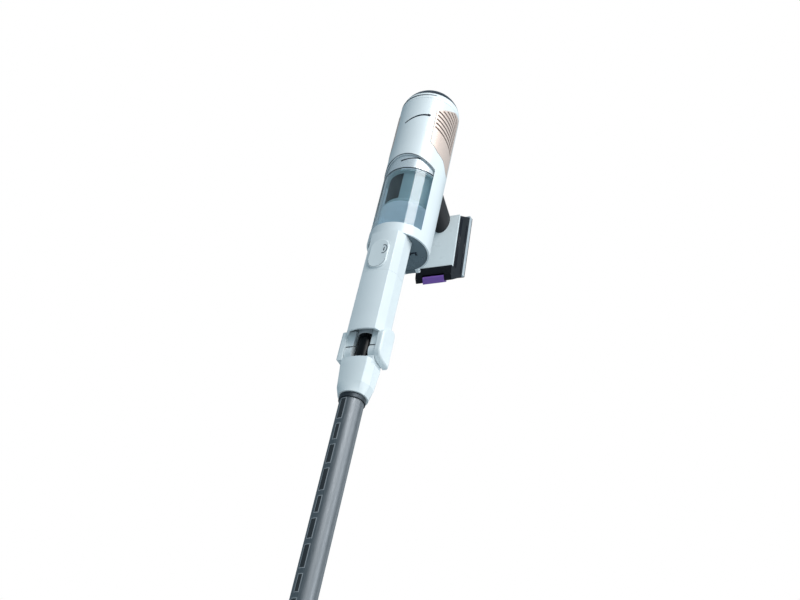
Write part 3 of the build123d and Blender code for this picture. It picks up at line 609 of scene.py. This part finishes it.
def add_tube_blocks():
    """A column of plain framed blocks down the front of the tube, with no lettering."""
    top_z = 0.566
    heights = (0.034, 0.026, 0.030)
    left_azimuths = (-27, -20, -27)
    right = 3
    block_count = 9
    block_gap = 0.006
    line_width, line_thick = 0.0011, 0.0003
    fill_lift, frame_lift = 0.00008, 0.00016
    inset = 0.001
    count = 6
    frames = bmesh.new()
    fills = bmesh.new()
    for number in range(block_count):
        height = heights[number % 3]
        left = left_azimuths[number % 3]
        low_z = top_z - height
        fill_path = [(azimuth, (top_z + low_z) / 2, tube_radius) for azimuth in spread(left, right, count)]
        ribbon(fills, fill_path, steady(count, height - 2 * inset), fill_lift, wand_y, line_thick)
        for z in (top_z - inset, low_z + inset):
            path = [(azimuth, z, tube_radius) for azimuth in spread(left, right, count)]
            ribbon(frames, path, steady(count, line_width), frame_lift, wand_y, line_thick)
        for azimuth in (left, right):
            path = [(azimuth, z, tube_radius) for z in (low_z + inset / 2, top_z - inset / 2)]
            ribbon(frames, path, steady(2, line_width), frame_lift, wand_y, line_thick)
        top_z = low_z - block_gap
    finish_piece("tube_block_fills", fills, tube_fill, "lower_wand", smooth=False)
    finish_piece("tube_block_frames", frames, tube_line, "lower_wand", smooth=False)


def add_release_marks():
    """On the wand's release button: a lip round its lower end, an open ring and a short bar."""
    low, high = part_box("wand_release_button")
    radius = (high.x - low.x) / 2
    face_y = low.y - 0.0001
    lip_reach = radius - 0.0016
    ring_half_x, ring_half_z = 0.0052, 0.0075
    ring_arc_half = 1.9
    bar_half = Vector((0, 0, 0.003))
    marks = bmesh.new()
    lip_points = []
    for angle in spread(pi, 2 * pi, 24):
        lip_z = low.z + radius + lip_reach * sin(angle)
        lip_points.append((lip_reach * cos(angle), face_y + 0.0006, lip_z))
    rod(marks, lip_points, 0.0006)
    centre = Vector((0.0075, face_y, high.z - 0.019))
    ring_points = []
    for angle in spread(-ring_arc_half, ring_arc_half, 24):
        ring_points.append(centre + Vector((ring_half_x * cos(angle), 0, ring_half_z * sin(angle))))
    rod(marks, ring_points, 0.0005)
    bar_middle = centre + Vector((0.0005, 0, 0))
    rod(marks, [bar_middle - bar_half, bar_middle + bar_half], 0.0007)
    finish_piece("release_button_marks", marks, dark_mark_and_shade, "wand_release_button")


# ---------------------------------------------------------------- the battery
def on_battery(x, along, depth):
    """A point so far down the battery's slide and so far out from the dock plate's upper corner."""
    slide = next(joint for joint in frame["joints"] if joint["name"] == "battery_slide")
    down = Vector(slide["axis"])
    outward = Vector((0, -down.z, down.y))
    dock_corner = Vector((0, body_y + 0.1055, 1.007))
    return Vector((x, 0, 0)) + dock_corner + down * along + outward * depth


def add_battery_trim():
    """Ribs down the battery's sides, a dark edge round its silver back and three charge lights."""
    low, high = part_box("battery_case")
    half = (high.x - low.x) / 2
    rib_clear, rib_radius = 0.00015, 0.0005
    rib_top, rib_bottom = -0.001, 0.092
    ribs = bmesh.new()
    for side in (-1, 1):
        x = side * (half + rib_clear)
        for depth in (0.009, 0.0125, 0.0305):
            rod(ribs, [on_battery(x, rib_top, depth), on_battery(x, rib_bottom, depth)], rib_radius)
    finish_piece("battery_side_ribs", ribs, black_gloss, "battery")

    back_depth = 0.0461
    edge_half = half - 0.0006
    edge_top, edge_bottom = -0.0245, 0.0875
    corners = (
        (-edge_half, edge_top), (edge_half, edge_top), (edge_half, edge_bottom), (-edge_half, edge_bottom),
    )
    edge = bmesh.new()
    rod(edge, [on_battery(x, along, back_depth) for x, along in corners], 0.0011, closed=True)
    finish_piece("battery_back_edge", edge, black, "battery")

    light_half = Vector((0.004, 0, 0))
    first_light, light_pitch = 0.074, 0.005
    lights = bmesh.new()
    for count in range(3):
        centre = on_battery(0, first_light + light_pitch * count, back_depth)
        rod(lights, [centre - light_half, centre + light_half], 0.0009)
    finish_piece("battery_charge_lights", lights, pale_mark, "battery")


# ---------------------------------------------------------------- the floor head
def add_headlight_chips():
    """Nine light chips behind the headlight's lens."""
    low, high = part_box("headlight_lens")
    end_gap = 0.008
    half_width = 0.0022
    front, rear = high.y + 0.0004, high.y + 0.0016
    chip_low, chip_high = 0.0335, 0.0375
    chip_count = 9
    chips = bmesh.new()
    for count in range(chip_count):
        x = low.x + end_gap + (high.x - low.x - 2 * end_gap) * count / (chip_count - 1)
        block(chips, (x - half_width, front, chip_low), (x + half_width, rear, chip_high))
    finish_piece("headlight_chips", chips, pale_mark, "floor_head")


def add_screw_recess_shade():
    """A dark cross of painted shade on each screw head under the floor head, where its cross recess is."""
    head_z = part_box("head_screws")[0].z
    screw_y = -0.018
    long_half, short_half = 0.0021, 0.0005
    below, above = 0.00005, 0.0006
    recess_shade = bmesh.new()
    for x in (-0.092, -0.054, 0.054, 0.092):
        for half_x, half_y in ((long_half, short_half), (short_half, long_half)):
            # painted shade: a dark cross stands in for each screw's recess
            block(
                recess_shade,
                (x - half_x, screw_y - half_y, head_z - below),
                (x + half_x, screw_y + half_y, head_z + above),
            )
    finish_piece("screw_recess_shade", recess_shade, dark_mark_and_shade, "floor_head")


def wheel_profile(half, outer):
    """A wheel's section as (radius, offset) pairs: hub, sunken web and a rim with three grooves."""
    bore, hub, rim = 0.00305, 0.0065, 0.0155
    web_inner, web_outer = 0.0070, 0.0150
    web_sink = 0.0025
    edge = 0.002
    groove_depth = 0.0011
    profile = [(bore, -half), (hub, -half), (web_inner, -half + web_sink), (web_outer, -half + web_sink)]
    profile += [(rim, -half), (outer - edge, -half), (outer, -half + edge)]
    for groove in (-0.0055, 0.0, 0.0055):
        profile += [
            (outer, groove - 0.0012), (outer - groove_depth, groove - 0.0007),
            (outer - groove_depth, groove + 0.0007), (outer, groove + 0.0012),
        ]
    profile += [(outer, half - edge), (outer - edge, half), (rim, half), (web_outer, half - web_sink)]
    profile += [(web_inner, half - web_sink), (hub, half), (bore, half)]
    return profile


def add_wheel(side_name):
    """A grooved tyre with six spokes on each face of its web."""
    node = f"wheel_{side_name}"
    low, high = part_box(node)
    half = (high.x - low.x) / 2
    outer = (high.z - low.z) / 2
    middle = box_middle(node)
    spoke_count = 6
    spoke_start, spoke_end, spoke_radius = 0.0068, 0.0152, 0.0011
    spoke_sink = 0.0018
    wheel = bmesh.new()
    turned(wheel, wheel_profile(half, outer), middle, "x", 64)
    for spoke in range(spoke_count):
        angle = tau * spoke / spoke_count
        along = Vector((0, cos(angle), sin(angle)))
        for face in (-1, 1):
            centre = middle + Vector((face * (half - spoke_sink), 0, 0))
            rod(wheel, [centre + along * spoke_start, centre + along * spoke_end], spoke_radius)
    piece = finish_piece(f"grooved_wheel_{side_name}", wheel, tyre, node, smooth=False)
    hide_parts(node)


def diamond(centre, first, second):
    """Four corners round a centre, along two crossing half diagonals."""
    return [centre - first, centre + second, centre + first, centre - second]


def add_brush_rows():
    """Helical rows on the brush: tufts of bristle and soft fins by turns, wound from the middle out."""
    low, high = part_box("brush_strips")
    core_low, core_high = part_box("brush_core")
    middle = box_middle("brush_strips")
    outer = (high.z - low.z) / 2
    core_radius = (core_high.z - core_low.z) / 2
    row_count = 6
    fin_steps, tuft_count = 60, 66
    end_twist = 2.4
    sideways = Vector((1, 0, 0))
    tufts = bmesh.new()
    fins = bmesh.new()

    def row_place(x, row):
        """The brush's axis at x, with the row's outward and crosswise directions there."""
        angle = tau * row / row_count + end_twist * abs(x) / high.x
        out = Vector((0, cos(angle), sin(angle)))
        across = Vector((0, -sin(angle), cos(angle)))
        return Vector((x, middle.y, middle.z)), out, across

    for row in range(1, row_count, 2):
        rings = []
        for x in spread(low.x, high.x, fin_steps):
            axis, out, across = row_place(x, row)
            base = axis + out * (core_radius - 0.001)
            tip = axis + out * (outer - 0.0006)
            foot = across * 0.0013
            edge = across * 0.0006
            rings.append([base - foot, base + foot, tip + edge, tip - edge])
        add_loft(fins, rings)
    for row in range(0, row_count, 2):
        for x in spread(low.x + 0.002, high.x - 0.002, tuft_count):
            axis, out, across = row_place(x, row)
            base = axis + out * (core_radius - 0.0008)
            tip = axis + out * (outer - 0.0003)
            add_loft(tufts, [
                diamond(base, across * 0.0009, sideways * 0.0009),
                diamond(tip, across * 0.0014, sideways * 0.0012),
            ])
    piece = finish_piece("brush_bristle_rows", tufts, bristle, "brush", smooth=False)
    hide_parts("brush_strips")
    finish_piece("brush_soft_fins", fins, purple, "brush")


# ---------------------------------------------------------------- the suction motor
def add_impeller_blades():
    """Curved blades that climb the impeller's hub towards its eye."""
    blade_count = 11
    outer, draw_in = 0.0265, 0.0165
    foot_z, climb = 1.0325, 0.0145
    twist = 0.9
    blades = bmesh.new()
    for count in range(blade_count):
        rings = []
        for share in spread(0, 1, 8):
            reach = outer - draw_in * share
            angle = tau * count / blade_count + twist * share
            z = foot_z + climb * share
            out = Vector((cos(angle), sin(angle), 0))
            across = Vector((-sin(angle), cos(angle), 0))
            foot = Vector((0, body_y, z - 0.0015)) + out * (reach - 0.002)
            crest = Vector((0, body_y, z + 0.0035 * (1 - share) + 0.001)) + out * reach
            thick = across * 0.0004
            thin = across * 0.0003
            rings.append([foot - thick, foot + thick, crest + thin, crest - thin])
        add_loft(blades, rings)
    finish_piece("impeller_blades", blades, cast, "rotor")


def add_stator_coils():
    """A ring of upright copper windings in the stator."""
    coil_count = 9
    points = 20
    coil_z = 1.063
    ring_radius = 0.0185
    half_width, half_height = 0.0034, 0.0130
    coils = bmesh.new()
    for count in range(coil_count):
        angle = tau * count / coil_count
        across = Vector((-sin(angle), cos(angle), 0))
        centre = Vector((0, body_y, coil_z)) + Vector((cos(angle), sin(angle), 0)) * ring_radius
        loop = []
        for step in range(points):
            turn_angle = tau * step / points
            rise = Vector((0, 0, half_height * sin(turn_angle)))
            loop.append(centre + across * half_width * cos(turn_angle) + rise)
        rod(coils, loop, 0.0014, closed=True)
    finish_piece("stator_coils", coils, copper, "handheld")


add_shell_streak()
add_seam_line()
add_arch_line()
add_band_lines()
add_door_marks()
add_cup_glow_sheet()
add_shroud_screens()
add_flex_hose()
add_hinge_shadow_lines()
add_tube_blocks()
add_release_marks()
add_battery_trim()
add_headlight_chips()
add_screw_recess_shade()
add_wheel("left")
add_wheel("right")
add_brush_rows()
add_impeller_blades()
add_stator_coils()

# the sharp edges of the moulded pieces are softened
softened_nodes = (
    "main_shell", "nozzle", "upper_wand", "lower_knuckle", "cup_trim_band", "battery_case", "battery_dock",
    "battery_back", "head_cover", "head_base", "side_panel_left", "side_panel_right", "neck_socket",
    "filter_ring", "top_cap", "rear_spine", "cup_door",
)
for name in softened_nodes:
    soften = nodes[name].modifiers.new("soft_edges", "BEVEL")
    soften.width = 0.0004
    soften.segments = 2
    soften.limit_method = "ANGLE"
    soften.angle_limit = radians(40)


# ---------------------------------------------------------------- camera, light and floor
def add_camera():
    """The camera, which looks up at the front right of the handheld from below the floor's level."""
    place = Vector((0.8146, body_y - 1.2881, -0.3347))
    right = Vector((0.8991, 0.3976, 0.1833))
    up = Vector((0.1061, -0.6041, 0.7898))
    turn = Matrix((right, up, right.cross(up))).transposed().to_4x4()
    camera = bpy.data.objects.new("camera", bpy.data.cameras.new("camera"))
    camera.data.sensor_width = 36.0
    camera.data.lens = 58.80816
    camera.data.clip_end = 20
    camera.matrix_world = Matrix.Translation(place) @ turn
    bpy.context.scene.collection.objects.link(camera)
    bpy.context.scene.camera = camera


def soft_light(name, place, width, height, power, colour):
    """A rectangular studio softbox aimed at the middle of the machine's upper part."""
    light = bpy.data.lights.new(name, "AREA")
    light.shape = "RECTANGLE"
    light.size = width
    light.size_y = height
    light.energy = power
    light.color = colour
    lamp = bpy.data.objects.new(name, light)
    lamp.location = place
    aim = Vector((0, body_y, 0.85)) - Vector(place)
    lamp.rotation_euler = aim.to_track_quat("-Z", "Y").to_euler()
    bpy.context.scene.collection.objects.link(lamp)


def add_world():
    """A faint blue surrounding light, which the camera sees as plain white."""
    world = bpy.data.worlds.new("studio")
    world.use_nodes = True
    tree_nodes = world.node_tree.nodes
    links = world.node_tree.links
    ambient = tree_nodes["Background"]
    ambient.inputs["Color"].default_value = (0.64, 0.86, 1.0, 1)
    ambient.inputs["Strength"].default_value = 0.38
    backdrop = tree_nodes.new("ShaderNodeBackground")
    backdrop.inputs["Color"].default_value = (1, 1, 1, 1)
    seen = tree_nodes.new("ShaderNodeLightPath")
    choose = tree_nodes.new("ShaderNodeMixShader")
    links.new(seen.outputs["Is Camera Ray"], choose.inputs["Fac"])
    links.new(ambient.outputs["Background"], choose.inputs[1])
    links.new(backdrop.outputs["Background"], choose.inputs[2])
    links.new(choose.outputs["Shader"], tree_nodes["World Output"].inputs["Surface"])
    bpy.context.scene.world = world
    bpy.context.scene.view_settings.view_transform = "Standard"


def add_floor():
    """A round floor under the machine."""
    disc = bmesh.new()
    bmesh.ops.create_circle(disc, cap_ends=True, segments=96, radius=0.55)
    data = bpy.data.meshes.new("floor")
    disc.to_mesh(data)
    disc.free()
    floor = bpy.data.objects.new("floor", data)
    floor.data.materials.append(moulded("floor_paint", (0.86, 0.86, 0.85), 0.6, 0.1, 400))
    bpy.context.scene.collection.objects.link(floor)


add_camera()
soft_light("key", (1.33, -1.2, 2.2), 1.2, 1.5, 38, (1.0, 0.99, 0.98))
soft_light("side", (2.0, 0.05, 1.1), 0.9, 1.6, 17.5, (0.98, 0.99, 1.0))
soft_light("back", (0.9, 1.9, 1.3), 1.0, 1.4, 6, (0.97, 0.99, 1.0))
soft_light("under", (1.0, -1.3, -0.6), 0.9, 0.9, 3.5, (0.85, 0.95, 1.0))
add_world()
add_floor()
